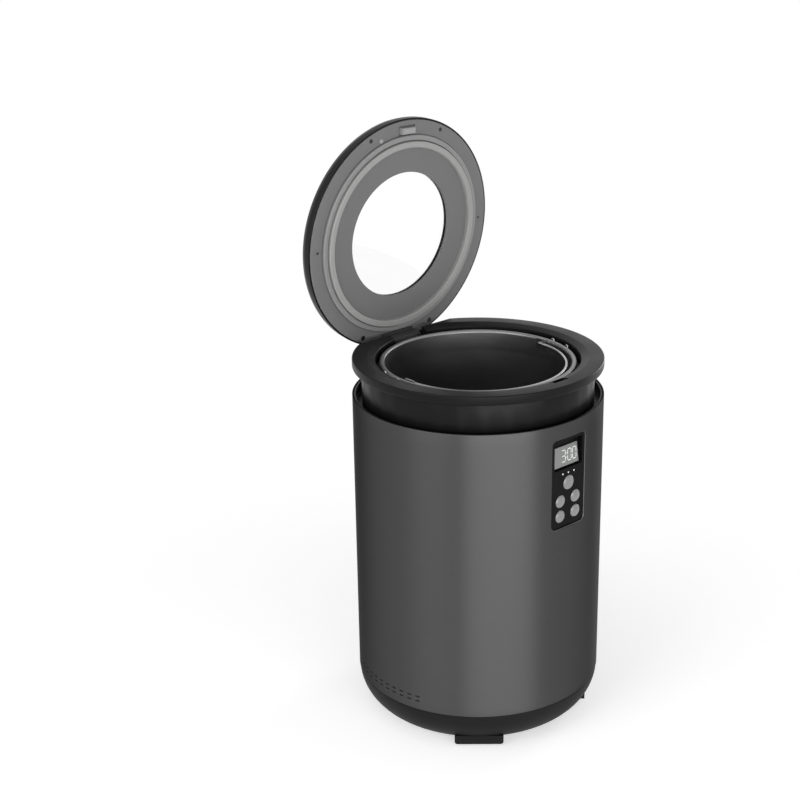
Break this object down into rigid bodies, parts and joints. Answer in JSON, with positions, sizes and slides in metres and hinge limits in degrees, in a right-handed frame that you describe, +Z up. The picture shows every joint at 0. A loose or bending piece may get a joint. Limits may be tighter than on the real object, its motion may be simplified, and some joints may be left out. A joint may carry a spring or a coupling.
{
  "type": "electric food waste composter",
  "caption": "Tall round kitchen waste composter with a hinged window lid, lift-out bucket with bail, stirring paddles and front control panel.",
  "frame": {"origin": "the body's vertical axis where it meets the worktop", "axes": "+Z up, the control panel faces -Y, the lid hinge is at +Y, +X is the user's right when facing the panel"},
  "size_m": [0.24, 0.2506, 0.572],
  "materials": {
    "sleeve_steel": "dark brushed satin",
    "black_plastic": "semi-gloss",
    "matt_black": "fine texture",
    "grey_plastic": "smooth matt",
    "light_rubber": "matt",
    "black_rubber": "matt",
    "bucket_steel": "satin",
    "inner_coating": "non-stick",
    "bright_steel": "polished",
    "cast_aluminium": "cast",
    "sheet_steel": "galvanised",
    "gear_steel": "machined",
    "bronze": "sintered",
    "window_glass": "clear",
    "lcd_glass": "satin",
    "button_grey": "satin",
    "light_lens": "clear lens",
    "circuit_board": "solder mask",
    "component_black": "moulded",
    "insulation_wool": "felted",
    "carbon": "granular pad",
    "silicone": "matt"
  },
  "bodies": {
    "housing": {"outer_sleeve": "sleeve_steel", "trim_ring": "black_plastic", "base_shell": "matt_black", "rubber_feet": "black_rubber", "base_screws": "sheet_steel", "deck": "grey_plastic", "inner_drum": "sheet_steel", "upper_collar": "black_plastic", "rim_bezel": "black_plastic", "lid_sensor": "component_black", "hinge_pin": "bright_steel", "heating_pot": "inner_coating", "heater_plate": "cast_aluminium", "temp_sensor": "component_black", "insulation": "insulation_wool", "pot_bearing": "bronze", "gearbox_pan": "cast_aluminium", "gearbox_cover": "cast_aluminium", "gear_bushes": "bronze", "idler_pin": "bright_steel", "motor_can": "sheet_steel", "gearbox_screws": "sheet_steel", "blower_case": "matt_black", "air_duct": "matt_black", "filter_case": "matt_black", "control_board": "circuit_board", "board_parts": "component_black", "panel_face": "black_plastic", "lcd_panel": "lcd_glass", "indicator_lights": "light_lens", "display_board": "circuit_board", "tact_switches": "component_black", "ac_inlet": "matt_black", "inlet_pins": "bright_steel"},
    "lid": {"lid_plate": "grey_plastic", "lid_shell": "black_plastic", "lid_screws": "sheet_steel", "lid_window": "window_glass", "lid_seal": "silicone", "lid_keeper": "bright_steel", "lid_hinge": "black_plastic"},
    "bucket": {"bucket": "bucket_steel", "bucket_ears": "bucket_steel", "bucket_bush": "bronze"},
    "bail": {"bail_handle": "bright_steel"},
    "agitator": {"agitator_shaft": "bright_steel", "agitator": "cast_aluminium"},
    "output": {"output_gear": "gear_steel", "output_shaft": "bright_steel"},
    "idler": {"idler_gear": "gear_steel"},
    "pinion": {"motor_pinion": "gear_steel"},
    "fan": {"blower_rotor": "grey_plastic"},
    "filter": {"filter_drawer": "matt_black", "carbon_pad": "carbon", "filter_door": "black_plastic"},
    "power_key": {"button_power": "button_grey"},
    "right_upper_key": {"button_right_upper": "button_grey"},
    "left_upper_key": {"button_left_upper": "button_grey"},
    "right_lower_key": {"button_right_lower": "button_grey"},
    "left_lower_key": {"button_left_lower": "button_grey"}
  },
  "joints": [
    {"name": "lid_hinge", "type": "hinge", "parent": "housing", "child": "lid", "pos_m": [0, 0.1063, 0.3512], "axis": [-1, 0, 0], "range_deg": [-84.5, 0]},
    {"name": "bucket_lift", "type": "slide", "parent": "housing", "child": "bucket", "axis": [0, 0, 1], "range_m": [0, 0.16]},
    {"name": "bail_swing", "type": "hinge", "parent": "bucket", "child": "bail", "pos_m": [0, 0, 0.3527], "axis": [-1, 0, 0], "range_deg": [0, 90]},
    {"name": "output_turn", "type": "hinge", "parent": "housing", "child": "output", "pos_m": [0, 0, 0.133], "axis": [0, 0, 1], "continuous": true},
    {"name": "idler_turn", "type": "hinge", "parent": "housing", "child": "idler", "pos_m": [-0.06, 0, 0.125], "axis": [0, 0, 1], "continuous": true},
    {"name": "pinion_turn", "type": "hinge", "parent": "housing", "child": "pinion", "pos_m": [-0.036, -0.04157, 0.121], "axis": [0, 0, 1], "continuous": true},
    {"name": "agitator_turn", "type": "hinge", "parent": "bucket", "child": "agitator", "pos_m": [0, 0, 0.21], "axis": [0, 0, 1], "continuous": true},
    {"name": "fan_turn", "type": "hinge", "parent": "housing", "child": "fan", "pos_m": [0.038, -0.012, 0.07], "axis": [0, 0, 1], "continuous": true},
    {"name": "filter_slide", "type": "slide", "parent": "housing", "child": "filter", "axis": [0, 1, 0], "range_m": [0, 0.075]},
    {"name": "power_press", "type": "slide", "parent": "housing", "child": "power_key", "axis": [0, 1, 0], "range_m": [0, 0.0008], "stiffness_N_per_m": 500, "springref_m": -0.0012},
    {"name": "right_upper_press", "type": "slide", "parent": "housing", "child": "right_upper_key", "axis": [0, 1, 0], "range_m": [0, 0.0008], "stiffness_N_per_m": 500, "springref_m": -0.0012},
    {"name": "left_upper_press", "type": "slide", "parent": "housing", "child": "left_upper_key", "axis": [0, 1, 0], "range_m": [0, 0.0008], "stiffness_N_per_m": 500, "springref_m": -0.0012},
    {"name": "right_lower_press", "type": "slide", "parent": "housing", "child": "right_lower_key", "axis": [0, 1, 0], "range_m": [0, 0.0008], "stiffness_N_per_m": 500, "springref_m": -0.0012},
    {"name": "left_lower_press", "type": "slide", "parent": "housing", "child": "left_lower_key", "axis": [0, 1, 0], "range_m": [0, 0.0008], "stiffness_N_per_m": 500, "springref_m": -0.0012}
  ],
  "couplings": [
    {"joint": "idler_turn", "follows": "output_turn", "ratio": -3},
    {"joint": "pinion_turn", "follows": "output_turn", "ratio": 6.6},
    {"joint": "agitator_turn", "follows": "output_turn", "ratio": 1}
  ]
}
